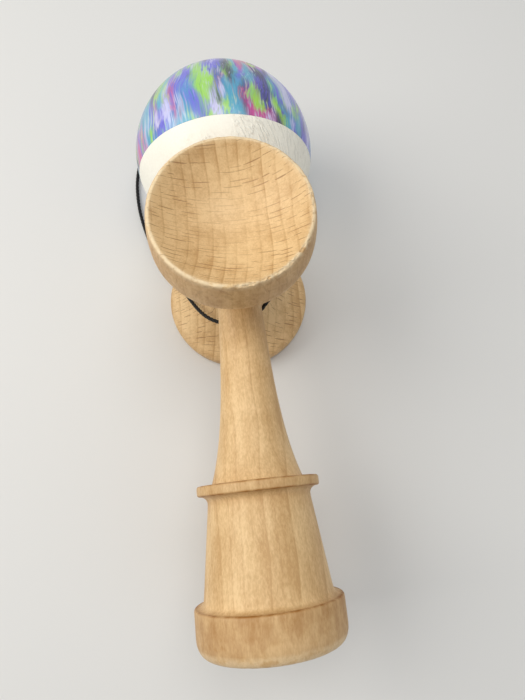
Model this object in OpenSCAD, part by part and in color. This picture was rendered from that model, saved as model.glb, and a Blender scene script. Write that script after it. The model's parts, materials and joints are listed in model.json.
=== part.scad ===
// Kendama at rest on its big cup, with the ball on the spike.
// Millimetres. +Z is up, the ken lies along +Y with its spike forward, and the
// table is z = 0. The origin is under the middle of the toy's length.

/* [Tama] */
// Diameter of the painted ball
tama_d = 60; // [56:0.5:64]
// Thickness of the paint on the ball
coat_t = 0.3; // [0.2:0.05:0.6]
// Diameter of the hole that takes the spike
tama_hole_d = 23; // [21:0.5:26]
// Wood left between the end of that hole and the top of the ball
tama_crown = 13.4; // [11:0.2:16]
// Radial width of the bevel round the hole's mouth
tama_bevel = 2; // [1:0.25:3]
// Depth of that bevel along the hole
tama_bevel_depth = 2.5; // [1:0.25:4]
// Diameter of the string hole through the top of the ball
tama_string_hole_d = 3; // [2.4:0.1:5]
// Width of the bare ring of wood round the string hole
tama_string_ring = 0.8; // [0.4:0.1:1.5]
// Angle from the hole's axis at which the white band meets the coloured paint
band_angle = 76.5; // [65:0.5:88]
// Room between the ball and the back of the cup that it leans on
tama_seat_gap = 0.4; // [0.3:0.1:2]

/* [Ken base] */
// Diameter of the base ring
base_d = 40; // [36:0.2:44]
// Height of the base ring
base_ring_h = 11.4; // [9:0.1:14]
// Width of the rounding of the foot's outer edge
base_foot_round = 2.8; // [1.5:0.1:4]
// Height of that rounding
base_foot_rise = 4.2; // [2:0.1:7]
// Width of the flat land that the ken can stand on
base_land = 0.8; // [0.5:0.1:1.5]
// Depth of the base cup
base_cup_depth = 7; // [4:0.5:9]
// Rounding of the ring's upper edge
base_ring_round = 0.6; // [0.3:0.1:1]
// Diameter of the skirt just above the base ring
skirt_foot_d = 34.6; // [32:0.2:36]
// Fillet between the skirt and the base ring
skirt_foot_fillet = 1.8; // [1:0.1:2]
// Diameter of the skirt just below the collar
skirt_top_d = 28.8; // [25:0.2:30]

/* [Ken collar and handle] */
// Height of the collar's underside above the foot
collar_h = 39.2; // [34:0.2:44]
// Thickness of the collar
collar_t = 2.9; // [2:0.1:4]
// Diameter of the collar
collar_d = 34.4; // [33:0.2:38]
// Rounding of the collar's edges
collar_round = 0.6; // [0.3:0.1:0.9]
// Fillet under the collar
collar_fillet = 2; // [1:0.1:2.2]
// Diameter of the handle where it rises from the collar
handle_root_d = 25.8; // [22:0.2:30]
// Diameter of the handle where its flare runs into its taper
grip_d = 14.5; // [13.5:0.1:15.5]
// Length over which the handle flares out to the collar
flare_len = 40.7; // [36:0.1:46]
// How far the flare leans along the handle at its root
flare_root_pull = 8.7; // [6:0.1:12]
// How far the flare narrows over that lean
flare_root_narrow = 3; // [2:0.1:4]
// How far the flare runs straight where it meets the taper
flare_top_pull = 20; // [14:0.5:26]

/* [Ken spike] */
// Diameter of the ken where it leaves the sarado
seat_top_d = 11; // [10.4:0.1:12]
// Room between the spike's tip and the knot in the ball
spike_room = 2.5; // [1:0.25:8]
// Diameter of the spike's rounded tip
spike_tip_d = 4.4; // [3:0.2:6]

/* [Sarado] */
// Height of the sarado's axis crossing above the ken's foot
sarado_h = 109.1; // [104:0.1:114]
// Diameter of the barrel between the cups
barrel_d = 24; // [23:0.5:25]
// Distance from the ken's axis to the small cup's rim
small_rim = 33.5; // [31:0.5:36]
// Outer diameter of the small cup at its shoulder
small_wall_d = 46.2; // [42:0.2:49]
// Outer diameter of the small cup at its lip
small_lip_d = 44.2; // [41:0.2:46]
// Height of the small cup's wall, from rim to shoulder
small_wall_h = 11; // [8:0.5:11.5]
// Rounding of the small cup's shoulder
small_shoulder = 4.7; // [3:0.1:6]
// Turn of the small cup's back, in degrees from the barrel's side
small_turn = 75; // [70:1:80]
// Depth of the small cup
small_depth = 9.5; // [7:0.5:11]
// Distance from the ken's axis to the big cup's rim, which stands on the table
big_rim = 34.5; // [33:0.5:36]
// Outer diameter of the big cup at its shoulder
big_wall_d = 50.4; // [48:0.2:54]
// Outer diameter of the big cup at its lip
big_lip_d = 49.8; // [47:0.2:50.2]
// Height of the big cup's wall, from rim to shoulder
big_wall_h = 4.2; // [3.5:0.1:5]
// Rounding of the big cup's shoulder
big_shoulder = 2.7; // [1.5:0.1:4]
// Turn of the big cup's back, in degrees from the barrel's side
big_turn = 61; // [58:1:68]
// Depth of the big cup
big_depth = 10.5; // [8:0.5:11]
// Rounding of the cups' lips
lip_round = 0.8; // [0.6:0.1:1.4]
// Width of the flat land on the cups' rims
rim_land = 0.3; // [0.2:0.1:0.8]

/* [String and bead] */
// Diameter of the string
string_d = 1.3; // [1:0.1:1.6]
// Diameter of the string holes in the sarado and the ken
string_hole_d = 2.6; // [2.2:0.1:3.2]
// Diameter of the pocket in the ken for the knot
knot_pocket_d = 4.8; // [4.4:0.1:5.4]
// Depth of that pocket
knot_pocket_depth = 4.6; // [4.4:0.1:5]
// Diameter of the knots at the string's ends
knot_d = 4; // [3.4:0.1:4]
// Diameter of the bead in the ball
bead_d = 8; // [6:0.5:10]
// Length of the bead
bead_len = 5.5; // [4:0.25:6]
// Diameter of the hole through the bead
bead_hole_d = 2.2; // [2:0.1:3]
// Rounding of the bead's edges
bead_round = 1.5; // [0.8:0.1:1.6]

/* [Fits] */
// Clearance between the ball's core and its paint
coat_clearance = 0.05; // [0.02:0.01:0.1]
// Least clearance between the spike and the hole that it lies in
spike_clearance = 0.4; // [0.2:0.1:1]
// Clearance between the ken's taper and the sarado
seat_clearance = 0.05; // [0.02:0.01:0.1]
// Clearance between the bead and its seat in the ball
bead_clearance = 0.1; // [0.05:0.05:0.3]
// Clearance round the knots
knot_clearance = 0.2; // [0.1:0.05:0.4]

/* [Hidden] */
$fn = 96;

// Steps along each rounded stretch of an outline
ARC_STEPS = 8;
// Steps along the handle's long flare
FLARE_STEPS = 24;
// Overshoot of a cut past the face that it opens
CUT = 1;

tama_r = tama_d / 2;
coat_r = tama_r - coat_t;
core_r = coat_r - coat_clearance;
tama_hole_r = tama_hole_d / 2;
tama_mouth_r = tama_hole_r + tama_bevel;
base_r = base_d / 2;
collar_r = collar_d / 2;
grip_r = grip_d / 2;
seat_top_r = seat_top_d / 2;
spike_tip_r = spike_tip_d / 2;
barrel_r = barrel_d / 2;
bead_r = bead_d / 2;
knot_r = knot_d / 2;

base_mouth_r = base_r - base_foot_round - base_land;
collar_top = collar_h + collar_t;
flare_end = collar_top + flare_len;
seat_end = sarado_h + barrel_r;
// How fast the ken narrows from the end of its flare to the end of its seat
seat_slope = (grip_r - seat_top_r) / (seat_end - flare_end);

// The ken's axis lies level, as high as the big cup's rim is far from it
axis_z = big_rim;
// The ball stands on the table, or hangs on the spike where it is too small for that
tama_z = max(tama_r, axis_z + seat_top_r + spike_clearance - tama_hole_r);
// It leans on the back of the big cup, or of the small cup where it is large
tama_reach = max(
    lean(big_wall_d / 2, big_shoulder, big_wall_h),
    lean(small_wall_d / 2, small_shoulder, axis_z + small_rim - small_wall_h));
toy_len = sarado_h + tama_reach + tama_r;
foot_y = -toy_len / 2;
sarado_y = foot_y + sarado_h;
tama_y = sarado_y + tama_reach;

// Places along the ball's own axis, from its centre, with the hole's mouth below
tama_mouth = -sqrt(core_r * core_r - tama_mouth_r * tama_mouth_r);
tama_hole_end = tama_r - tama_crown;
tama_top = sqrt(tama_r * tama_r - pow(tama_string_hole_d / 2 + tama_string_ring, 2));
bead_base = tama_hole_end - bead_clearance - bead_len;
bead_knot_mid = bead_base - knot_clearance - knot_r;
// Height of the spike's tip above the ken's foot
spike_tip = sarado_h + tama_reach + bead_knot_mid - knot_r - spike_room;

// Places along the string hole, from the ken's axis
ken_r_at_hole = seat_r(sarado_h);
pocket_floor = knot_pocket_depth - ken_r_at_hole;
ken_knot_mid = pocket_floor - knot_clearance - knot_r;
sarado_hole_mouth = sqrt(barrel_r * barrel_r - pow(string_hole_d / 2, 2));

// Route of the loose string, from the hole in the sarado to the top of the ball.
// It passes under the handle and along the table to a coil behind the ball.
// Each point is [across, along the ken from the sarado's axis, above the table].
STRING_OUT = [
    [16, -0.4, 34.3], [17.4, -2.6, 33.5], [16.2, -5.4, 32.3], [12.4, -8.4, 30.8],
    [8.9, -11.7, 29.3], [6.2, -14.2, 27.8], [3.2, -15.6, 26.4], [0, -16, 25.6],
    [-5.4, -15.7, 24.5], [-10, -13.2, 22.8], [-13.8, -8.6, 19.8], [-18.6, 0.6, 13.4],
    [-24.3, 11.5, 8], [-28.6, 20, 3.6], [-32.4, 29, 1], [-35.6, 43, 0.8],
    [-36, 57, 0.8], [-33, 69, 0.8], [-26.5, 77.5, 0.8], [-16, 81.6, 0.8],
];
// From the coil it rises to the ball. Each point is [across, behind the ball, above
// the table as a share of the height of the ball's middle].
STRING_HOME = [
    [-8.1, 17.2, 0.083], [-7, 12.8, 0.18], [-4.2, 10, 0.347], [-1.7, 9, 0.56],
    [-0.4, 8.2, 0.78], [0, 5.6, 0.947],
];
// Middle of the coil, across and behind the ball, and its height above the table
COIL_MID = [0, 20.8];
COIL_Z = 0.8;
// Radius of the coil where it starts, and how much each turn is smaller
COIL_R = 13;
COIL_PITCH = 2.6;
// Direction in which the coil starts, and how far it goes round
COIL_START = -105;
COIL_SWEEP = 645;
COIL_STEPS = 27;
// Straight run of the string out of each hole
STRING_LEAD = 2.4;
STRING_RINGS = 84;
STRING_SIDES = 8;

// Round stretch of an outline about a centre, from one angle to another
function arc(centre, r, from, to, steps = ARC_STEPS) = [
    for (i = [0 : steps])
        let (a = from + (to - from) * i / steps)
            centre + r * [cos(a), sin(a)]
];

// Smooth stretch of an outline from a to d, leaning towards b and c
function bezier(a, b, c, d, steps) = [
    for (i = [0 : steps])
        let (t = i / steps, s = 1 - t)
            s * s * s * a + 3 * s * s * t * b + 3 * s * t * t * c + t * t * t * d
];

// Radius of the ken's taper at a height above its foot
function seat_r(h) = grip_r - seat_slope * (h - flare_end);

// Radius of the ball that hollows out a cup of this mouth and depth
function bowl_r(mouth_r, depth) = (mouth_r * mouth_r + depth * depth) / (2 * depth);

// Distance from the sarado's axis at which the ball leans on a rounded shoulder there
function lean(wall_r, shoulder, height) =
    wall_r - shoulder + sqrt(max(0,
        pow(tama_r + shoulder + tama_seat_gap, 2) - pow(tama_z - height, 2)));

// Frame of the ken: its axis as +Z, its foot at the origin
module on_ken() { translate([0, foot_y, axis_z]) rotate([-90, 0, 0]) children(); }

// Frame of the sarado: its axis as +Z through the ken's axis, small cup up
module on_sarado() { translate([0, sarado_y, axis_z]) children(); }

// Frame of the ball: its hole's axis as +Z, with the mouth below
module on_tama() { translate([0, tama_y, tama_z]) rotate([-90, 0, 0]) children(); }

// Hollow of a cup whose rim is at z = 0 and which opens upwards
module bowl(mouth_r, depth) {
    r = bowl_r(mouth_r, depth);
    translate([0, 0, r - depth]) sphere(r);
}

// Outline of the ken's base, from its foot to the underside of the collar
function base_outline() = concat(
    [[0, 0]],
    [
        for (p = arc([0, 1], 1, -90, 0))
            [base_r - base_foot_round + base_foot_round * p[0], base_foot_rise * p[1]]
    ],
    arc([base_r - base_ring_round, base_ring_h - base_ring_round], base_ring_round, 0, 90),
    arc([skirt_foot_d / 2 + skirt_foot_fillet, base_ring_h + skirt_foot_fillet],
        skirt_foot_fillet, 270, 180),
    arc([skirt_top_d / 2 + collar_fillet, collar_h - collar_fillet], collar_fillet, 180, 90)
);

// Outline of the collar and the flaring handle, up to the taper
function handle_outline() = concat(
    arc([collar_r - collar_round, collar_h + collar_round], collar_round, -90, 0),
    arc([collar_r - collar_round, collar_top - collar_round], collar_round, 0, 90),
    bezier(
        [handle_root_d / 2, collar_top],
        [handle_root_d / 2 - flare_root_narrow, collar_top + flare_root_pull],
        [seat_r(flare_end - flare_top_pull), flare_end - flare_top_pull],
        [grip_r, flare_end],
        FLARE_STEPS)
);

// Outline of the taper that holds the sarado, and of the spike
function spike_outline() = concat(
    [[seat_top_r, seat_end]],
    arc([0, spike_tip - spike_tip_r], spike_tip_r, 0, 90)
);

// Handle, turned in one piece from base cup to spike
module ken() {
    color("burlywood") on_ken() difference() {
        rotate_extrude()
            polygon(concat(base_outline(), handle_outline(), spike_outline()));
        mirror([0, 0, 1]) bowl(base_mouth_r, base_cup_depth);
        translate([0, 0, sarado_h]) rotate([0, 90, 0])
            cylinder(d = string_hole_d, h = 2 * grip_r + CUT, center = true);
        translate([pocket_floor, 0, sarado_h]) rotate([0, -90, 0])
            cylinder(d = knot_pocket_d, h = knot_pocket_depth + CUT);
    }
}

// Outline of a cup from the barrel out to its rim, as if it opened upwards.
// Its back turns out from the barrel, rounds the shoulder and rises to the lip.
function cup_outline(rim, wall_r, lip_r, wall_h, shoulder, turn) =
    let (
        fillet = (wall_r - barrel_r) / (1 - cos(turn)) - shoulder,
        top = rim - wall_h,
        neck = top - (fillet + shoulder) * sin(turn),
        lip_top = rim - lip_round,
        lean = wall_r - lip_r,
        wall_h_straight = lip_top - top,
        swell = lean > 0 ? (pow(wall_h_straight, 2) + lean * lean) / (2 * lean) : 0,
        swell_angle = lean > 0 ? asin(wall_h_straight / swell) : 0
    )
    concat(
        arc([barrel_r + fillet, neck], fillet, 180, 180 - turn),
        arc([wall_r - shoulder, top], shoulder, -turn, 0),
        lean > 0 ? arc([wall_r - swell, top], swell, 0, swell_angle) : [],
        arc([lip_r - lip_round, lip_top], lip_round, 0, 90),
        [[0, rim]]
    );

// Points of an outline, turned upside down and taken from its other end
function upside_down(points) = [
    for (i = [len(points) - 1 : -1 : 0]) [points[i][0], -points[i][1]]
];

// Cross piece with the big cup below and the small cup above
module sarado() {
    small_lip_r = small_lip_d / 2;
    big_lip_r = big_lip_d / 2;
    bore_start = sarado_h - barrel_r - CUT;
    bore_end = seat_end + CUT;
    color("wheat") on_sarado() difference() {
        rotate_extrude() polygon(concat(
            upside_down(cup_outline(big_rim, big_wall_d / 2, big_lip_r,
                                    big_wall_h, big_shoulder, big_turn)),
            cup_outline(small_rim, small_wall_d / 2, small_lip_r,
                        small_wall_h, small_shoulder, small_turn)));
        translate([0, 0, small_rim])
            bowl(small_lip_r - lip_round - rim_land, small_depth);
        translate([0, 0, -big_rim]) mirror([0, 0, 1])
            bowl(big_lip_r - lip_round - rim_land, big_depth);
        translate([0, bore_start - sarado_h, 0]) rotate([-90, 0, 0])
            cylinder(r1 = seat_r(bore_start) + seat_clearance,
                     r2 = seat_r(bore_end) + seat_clearance,
                     h = bore_end - bore_start);
        rotate([0, 90, 0]) cylinder(d = string_hole_d, h = barrel_r + CUT);
    }
}

// Wooden core of the ball: spike hole with a bevelled mouth, string hole on top
module tama() {
    color("tan") on_tama() difference() {
        sphere(core_r);
        translate([0, 0, -tama_r]) cylinder(r = tama_hole_r, h = tama_r + tama_hole_end);
        translate([0, 0, tama_mouth])
            cylinder(r1 = tama_mouth_r, r2 = tama_hole_r, h = tama_bevel_depth);
        translate([0, 0, tama_mouth - tama_r]) cylinder(r = tama_mouth_r, h = tama_r);
        cylinder(d = tama_string_hole_d, h = tama_r + CUT);
    }
}

// Shell of paint between the ball's core and its outside
module coat() {
    difference() {
        sphere(tama_r);
        sphere(coat_r);
        children();
    }
}

// Height of the band's edge along the ball's axis
band_edge = -tama_r * cos(band_angle);

// Coloured paint over the top of the ball, open round the string hole
module tama_paint() {
    color("mediumslateblue") on_tama() coat() {
        translate([0, 0, band_edge - 2 * tama_r])
            cylinder(r = tama_d, h = 2 * tama_r);
        cylinder(d = tama_string_hole_d + 2 * tama_string_ring, h = tama_r + CUT);
    }
}

// White band of paint from the mouth of the spike hole up to the coloured paint
module tama_band() {
    color("ivory") on_tama() coat() {
        translate([0, 0, band_edge]) cylinder(r = tama_d, h = 2 * tama_r);
        translate([0, 0, -2 * tama_r]) cylinder(r = tama_mouth_r, h = 2 * tama_r);
    }
}

// Bead that stops the string from pulling out through the top of the ball
module tama_bead() {
    color("whitesmoke") on_tama() translate([0, 0, bead_base]) rotate_extrude()
        polygon(concat(
            [[bead_hole_d / 2, 0]],
            arc([bead_r - bead_round, bead_round], bead_round, -90, 0),
            arc([bead_r - bead_round, bead_len - bead_round], bead_round, 0, 90),
            [[bead_hole_d / 2, bead_len]]));
}

// Knot under the bead
module bead_knot() {
    color("black") on_tama() translate([0, 0, bead_knot_mid]) sphere(knot_r);
}

// Knot in the ken's pocket
module ken_knot() {
    color("black") on_sarado() translate([ken_knot_mid, 0, 0]) sphere(knot_r);
}

// String from the bead's knot up through the ball
module string_in_tama() {
    start = bead_knot_mid + knot_r;
    color("black") on_tama() translate([0, 0, start])
        cylinder(d = string_d, h = tama_top - start);
}

// String from the knot in the ken out to the mouth of the sarado's hole
module string_in_ken() {
    start = ken_knot_mid + knot_r;
    color("black") on_sarado() translate([start, 0, 0]) rotate([0, 90, 0])
        cylinder(d = string_d, h = sarado_hole_mouth - start);
}

// Point on a smooth line through four points, between the second and the third
function spline(a, b, c, d, t) =
    0.5 * (2 * b + (c - a) * t + (2 * a - 5 * b + 4 * c - d) * t * t
           + (3 * b - a - 3 * c + d) * t * t * t);

function unit(v) = v / norm(v);

// Spare string, lying as a flat coil that winds inwards
function coil() = [
    for (i = [0 : COIL_STEPS])
        let (
            turned = COIL_SWEEP * i / COIL_STEPS,
            a = COIL_START + turned,
            r = COIL_R - COIL_PITCH * turned / 360
        )
            [COIL_MID[0] + r * cos(a), COIL_MID[1] + r * sin(a), COIL_Z]
];

// Points that the loose string passes through, in the toy's frame
function string_knots() =
    let (
        out = [sarado_hole_mouth, sarado_y, axis_z],
        home = [0, tama_y + tama_top, tama_z],
        back = tama_y + tama_r
    )
    concat(
        [out, out + [STRING_LEAD, 0, 0]],
        [for (p = STRING_OUT) p + [0, sarado_y, 0]],
        [for (p = coil()) p + [0, back, 0]],
        [for (p = STRING_HOME) [p[0], p[1] + back, p[2] * tama_z]],
        [home + [0, STRING_LEAD, 0], home]);

// Point on the smooth line through the knots, at a place counted in knots
function along(knots, s) =
    let (last = len(knots) - 1, k = min(floor(s), last - 1))
    spline(knots[max(k - 1, 0)], knots[k], knots[k + 1], knots[min(k + 2, last)], s - k);

// Running length of a line at each of its points
function running_len(line) = [
    for (i = 0, sum = 0; i < len(line);
         i = i + 1, sum = i < len(line) ? sum + norm(line[i] - line[i - 1]) : sum)
        sum
];

// Middle line of the loose string, with its rings at a steady spacing
function string_line() =
    let (
        knots = string_knots(),
        steps = 10 * (len(knots) - 1),
        places = [for (i = [0 : steps]) i / 10],
        lens = running_len([for (s = places) along(knots, s)]),
        marks = [for (i = [0 : steps]) [lens[i], places[i]]]
    )
    [
        for (i = [0 : STRING_RINGS - 1])
            along(knots, lookup(i * lens[steps] / (STRING_RINGS - 1), marks))
    ];

// Direction of the middle line at each ring, square to the holes at both ends
function string_ways(line) = [
    for (i = [0 : len(line) - 1])
        i == 0 ? [1, 0, 0]
        : i == len(line) - 1 ? [0, -1, 0]
        : unit(line[i + 1] - line[i - 1])
];

// Side direction of each ring, carried along so that the tube doesn't twist
function string_sides(ways) = [
    for (i = 0, side = [0, 0, 1]; i < len(ways);
         i = i + 1,
         side = i < len(ways) ? unit(side - (side * ways[i]) * ways[i]) : side)
        side
];

// Loose string, swept along its middle line
module string() {
    line = string_line();
    ways = string_ways(line);
    sides = string_sides(ways);
    points = [
        for (i = [0 : len(line) - 1])
            for (j = [0 : STRING_SIDES - 1])
                let (a = 360 * j / STRING_SIDES)
                    line[i] + string_d / 2
                        * (cos(a) * sides[i] + sin(a) * cross(ways[i], sides[i]))
    ];
    walls = [
        for (i = [0 : len(line) - 2])
            for (j = [0 : STRING_SIDES - 1])
                let (
                    k = (j + 1) % STRING_SIDES,
                    a = i * STRING_SIDES + j,
                    b = i * STRING_SIDES + k
                )
                each [[a, a + STRING_SIDES, b], [b, a + STRING_SIDES, b + STRING_SIDES]]
    ];
    first = [for (j = [0 : STRING_SIDES - 1]) j];
    end = [for (j = [STRING_SIDES - 1 : -1 : 0]) (len(line) - 1) * STRING_SIDES + j];
    color("black") polyhedron(points, concat([first], walls, [end]));
}

// Length of the loose string, and its least gap to itself past a few diameters
function least_gap(line) = min([
    for (i = [0 : len(line) - 4])
        for (j = [i + 3 : len(line) - 1]) norm(line[i] - line[j])
]) - string_d;
echo(
    string_length = running_len(string_line())[STRING_RINGS - 1],
    string_gap = least_gap(string_line()));

ken();
sarado();
tama();
tama_paint();
tama_band();
tama_bead();
bead_knot();
ken_knot();
string_in_tama();
string_in_ken();
string();
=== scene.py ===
"""Looks of a wooden kendama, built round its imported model.

Run as a script, it adds the string, the turned pieces, the ball and the stage.
The outlines repeat the model's sizes, in millimetres, and every piece is made in
the model's own frame, in metres.
"""

import json
import math

import bmesh
import bpy
from bpy.props import FloatProperty, FloatVectorProperty, IntProperty, PointerProperty
from mathutils import Matrix, Vector


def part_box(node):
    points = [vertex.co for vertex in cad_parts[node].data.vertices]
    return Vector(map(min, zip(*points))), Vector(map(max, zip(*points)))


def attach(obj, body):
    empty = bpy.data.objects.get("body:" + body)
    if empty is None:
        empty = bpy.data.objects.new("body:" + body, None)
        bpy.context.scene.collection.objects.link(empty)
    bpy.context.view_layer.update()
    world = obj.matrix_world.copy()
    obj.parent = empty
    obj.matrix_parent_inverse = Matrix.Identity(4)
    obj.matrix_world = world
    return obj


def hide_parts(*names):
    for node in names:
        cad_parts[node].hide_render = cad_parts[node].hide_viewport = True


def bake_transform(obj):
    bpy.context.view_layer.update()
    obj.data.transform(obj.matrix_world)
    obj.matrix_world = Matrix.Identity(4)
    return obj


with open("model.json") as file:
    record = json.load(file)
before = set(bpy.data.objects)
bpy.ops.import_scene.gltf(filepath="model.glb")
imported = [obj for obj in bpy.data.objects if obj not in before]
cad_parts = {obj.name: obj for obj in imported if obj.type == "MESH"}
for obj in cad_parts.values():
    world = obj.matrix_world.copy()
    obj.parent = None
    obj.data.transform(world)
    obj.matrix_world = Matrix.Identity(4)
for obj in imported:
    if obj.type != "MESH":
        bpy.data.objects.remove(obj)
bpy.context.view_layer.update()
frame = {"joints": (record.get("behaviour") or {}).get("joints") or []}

bl_info = {
    "name": "Kendama",
    "version": (1, 0, 0),
    "blender": (4, 5, 0),
    "location": "View3D > Sidebar > Kendama",
    "description": "Adds the looks of a wooden kendama to its packed model",
    "category": "Add Mesh",
}

MM = 0.001
TURN = 2 * math.pi

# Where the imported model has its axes, in metres
KEN_FOOT_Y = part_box("ken")[0].y
AXIS_Z = (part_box("ken")[0].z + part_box("ken")[1].z) / 2
SARADO_Y = (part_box("sarado")[0].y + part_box("sarado")[1].y) / 2
SARADO_MID = Vector((0, SARADO_Y, AXIS_Z))
TAMA_MID = Vector(next(j["pos_m"] for j in frame["joints"] if j["name"] == "tama_spin"))

# Frames in which the turned pieces have +Z as their axis
ON_KEN = Matrix.Translation((0, KEN_FOOT_Y, AXIS_Z)) @ Matrix.Rotation(-TURN / 4, 4, "X")
ON_SARADO = Matrix.Translation(SARADO_MID)
ON_TAMA = Matrix.Translation(TAMA_MID) @ Matrix.Rotation(-TURN / 4, 4, "X")

# Ball and bead, in millimetres: radii, and places along the ball's axis from its middle
TAMA_R = 30.0
COAT_R = 29.7
CORE_R = 29.65
TAMA_HOLE_R = 11.5
TAMA_MOUTH_R = 13.5
TAMA_BEVEL_DEPTH = 2.5
TAMA_MOUTH = -math.sqrt(CORE_R**2 - TAMA_MOUTH_R**2)
TAMA_HOLE_END = 16.6
TAMA_STRING_R = 1.5
TAMA_RING_R = 2.3
TAMA_TOP = 29.9117
BAND_ANGLE = 76.5
BAND_EDGE = -TAMA_R * math.cos(math.radians(BAND_ANGLE))
BEAD_R = 4.0
BEAD_LEN = 5.5
BEAD_HOLE_R = 1.1
BEAD_ROUND = 1.5
BEAD_HOLE_ROUND = 0.3
BEAD_BASE = 11.0
# Gap between the two coats, how far their edge wavers, and how far from it that dies out
COAT_GAP = 0.04
EDGE_WAVE = 0.5
EDGE_REACH = 2.5

# Ken, in millimetres: radii, and heights above its foot. The skirt's straight side runs
# between two points of radius and height, and the flare is pulled along at both ends.
BASE_R = 20.0
BASE_RING_H = 11.4
BASE_RING_ROUND = 0.6
BASE_CUP_DEPTH = 7.0
FOOT_ROUND = 2.8
FOOT_RISE = 4.2
FOOT_R = BASE_R - FOOT_ROUND
FOOT_LAND = 0.8
SKIRT_FOOT_R = 17.3
SKIRT_TOP_R = 14.4
SKIRT_FILLET = 1.8
SKIRT_LOW = (17.1, 14.6)
SKIRT_HIGH = (14.5, 36.0)
COLLAR_H = 39.2
COLLAR_TOP = 42.1
COLLAR_R = 17.2
COLLAR_ROUND = 0.6
COLLAR_FILLET = 2.0
HANDLE_ROOT_R = 12.9
GRIP_R = 7.25
FLARE_END = 82.8
FLARE_ROOT_PULL = 8.7
FLARE_ROOT_NARROW = 3.0
FLARE_TOP_PULL = 20.0
SEAT_TOP_R = 5.5
SPIKE_TIP_R = 2.2
SPIKE_ROOM = 2.5

# Sarado, in millimetres. A cup's rim is measured from the ken's axis, and its turn is how
# far its back turns out from the barrel, in degrees.
SARADO_H = 109.1
BARREL_R = 12.0
SEAT_END = SARADO_H + BARREL_R
SEAT_CLEARANCE = 0.05
LIP_ROUND = 0.8
RIM_LAND = 0.3
SMALL_CUP = {
    "rim": 33.5, "wall_r": 23.1, "lip_r": 22.1, "wall_h": 11.0, "shoulder": 4.7, "turn": 75,
    "depth": 9.5,
}
BIG_CUP = {
    "rim": 34.5, "wall_r": 25.2, "lip_r": 24.9, "wall_h": 4.2, "shoulder": 2.7, "turn": 61,
    "depth": 10.5,
}

# String holes and knots, in millimetres: places across the ken, and along the ball's axis
STRING_HOLE_R = 1.3
SARADO_HOLE_MOUTH = 11.9294
KNOT_R = 2.0
KNOT_POCKET_R = 2.4
KNOT_CLEARANCE = 0.2
KEN_KNOT_MID = -3.648
BEAD_KNOT_MID = 8.8

# Fine ends of the outlines, in millimetres: how far the cups' mouths are eased in and
# down, the base cup's mouth in, out and up, and the ball's mouth, top and string hole
CUP_EASE = (0.15, 0.1)
BASE_EASE = (0.35, 0.2, 0.25)
TAMA_EASE = (0.2, 0.01, 0.3)
# Step between the end of a fillet and the next mark, in millimetres
MARK_STEP = 0.1

# Drills, in millimetres: how far they go past the barrel, and from the ken's axis
DRILL_REACH = 1.0
KEN_DRILL = 9.0
DRILL_SIDES = 64
# Distance in metres at which two points become one
MERGE = 0.002 * MM

# Route of the loose string, in metres, from the hole in the sarado to a coil behind
# the ball: across, along from the sarado's axis, and above the table
STRING_OUT = [
    (0.0160, -0.0004, 0.0343), (0.0174, -0.0026, 0.0335), (0.0162, -0.0054, 0.0323),
    (0.0124, -0.0084, 0.0308), (0.0089, -0.0117, 0.0293), (0.0062, -0.0142, 0.0278),
    (0.0032, -0.0156, 0.0264), (0.0000, -0.0160, 0.0256), (-0.0054, -0.0157, 0.0245),
    (-0.0100, -0.0132, 0.0228), (-0.0138, -0.0086, 0.0198), (-0.0186, 0.0006, 0.0134),
    (-0.0243, 0.0115, 0.0080), (-0.0286, 0.0200, 0.0036), (-0.0324, 0.0290, 0.0010),
    (-0.0356, 0.0430, 0.0008), (-0.0360, 0.0570, 0.0008), (-0.0330, 0.0690, 0.0008),
    (-0.0265, 0.0775, 0.0008), (-0.0160, 0.0816, 0.0008),
]
# From the coil up to the ball: across, behind the ball, and above the table
STRING_HOME = [
    (-0.0081, 0.0172, 0.00249), (-0.0070, 0.0128, 0.0054), (-0.0042, 0.0100, 0.01041),
    (-0.0017, 0.0090, 0.0168), (-0.0004, 0.0082, 0.0234), (0.0000, 0.0056, 0.02841),
]
# Coil, in metres and degrees: its middle across and behind the ball, its height, its
# radius where it starts, how much each turn is smaller, and how far it goes round
COIL_MID = (0.0, 0.0208)
COIL_Z = 0.0008
COIL_R = 0.0130
COIL_PITCH = 0.0026
COIL_START = -105
COIL_SWEEP = 645
COIL_STEPS = 27
# Straight run of the string out of each hole, in metres
STRING_LEAD = 0.0024
# Steps between two points of the route, and spacing of the cord's rings, in metres
ROUTE_STEPS = 20
CORD_STEP = 0.33 * MM
# Sides of the cord, and depth of the grooves between its strands, a share of its radius
CORD_SIDES = 24
CORD_GROOVE = 0.34
# Share of a knot's radius at which the string goes into it
KNOT_GRIP = 0.7
KNOT_STEPS = 120

# Camera: its place in metres, its axes, and its lens and sensor in millimetres
CAMERA_PLACE = (-0.00098, -0.053238, 0.18567)
CAMERA_RIGHT = Vector((0.9942, -0.1065, 0.0131))
CAMERA_DOWN = Vector((-0.0990, -0.9573, -0.2717))
CAMERA_AHEAD = Vector((0.0415, 0.2689, -0.9623))
CAMERA_LENS = 26.64
CAMERA_SENSOR = 36
CAMERA_NEAR = 0.005
# Table, in metres: half its side, and where it starts and ends to fade to the backdrop
TABLE_HALF = 3.0
TABLE_FADE = (0.22, 0.6)
# Lamps: place and size in metres, power and colour
LAMPS = {
    "key": ((-0.5, 0.1, 0.48), 0.5, 2.85, (1.0, 0.965, 0.91)),
    "top": ((0.06, 0.12, 0.68), 0.4, 1.55, (1.0, 0.98, 0.95)),
    "fill": ((0.5, -0.35, 0.5), 0.6, 0.35, (0.95, 0.97, 1.0)),
}
LAMP_TARGET = Vector((0, 0, 0.03))
SKY_COLOUR = (0.95, 0.97, 1.0, 1)
SKY_STRENGTH = 0.34


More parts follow.
